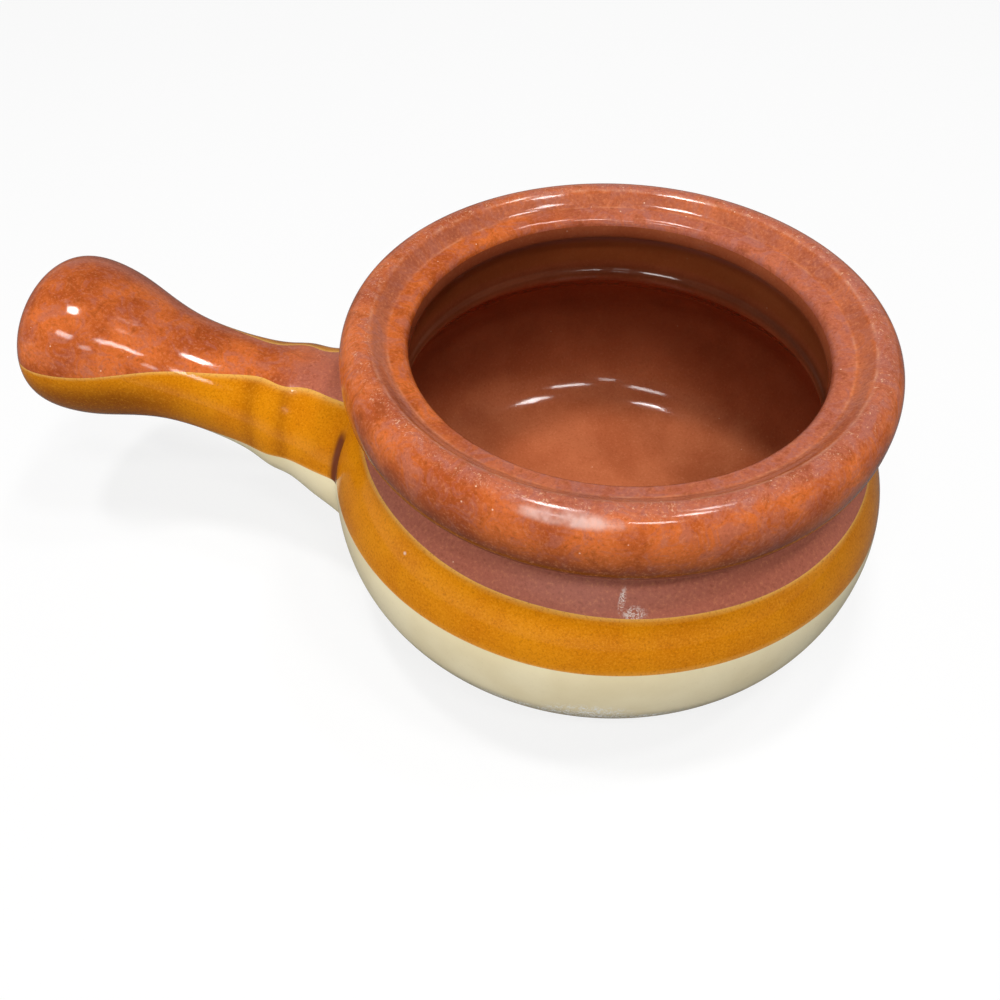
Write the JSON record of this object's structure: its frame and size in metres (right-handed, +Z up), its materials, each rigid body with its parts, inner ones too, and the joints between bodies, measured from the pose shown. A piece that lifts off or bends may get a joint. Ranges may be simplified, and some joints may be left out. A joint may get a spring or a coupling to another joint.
{
  "type": "soup crock",
  "caption": "Round stoneware soup crock with a rolled rim and a hollow stick handle, dipped in brown, amber and cream glaze bands.",
  "frame": {"origin": "middle of the foot ring, on the surface that the crock stands on", "axes": "+Z up along the bowl's axis, the handle points along -X"},
  "size_m": [0.2128, 0.1314, 0.0763],
  "materials": {
    "stoneware": "unglazed, fine and matte",
    "slip": "unglazed, matte",
    "brown_liner": "glossy brown",
    "brown_glaze": "glossy red-brown, orange where it runs thin",
    "amber_glaze": "glossy amber",
    "cream_glaze": "satin cream"
  },
  "bodies": {
    "root": {"bowl_body": "stoneware", "handle_body": "stoneware", "luting_slip": "slip", "liner_glaze": "brown_liner", "rim_brown_glaze": "brown_glaze", "bowl_amber_glaze": "amber_glaze", "bowl_cream_glaze": "cream_glaze", "handle_brown_glaze": "brown_glaze", "handle_amber_glaze": "amber_glaze", "handle_cream_glaze": "cream_glaze"}
  },
  "joints": []
}
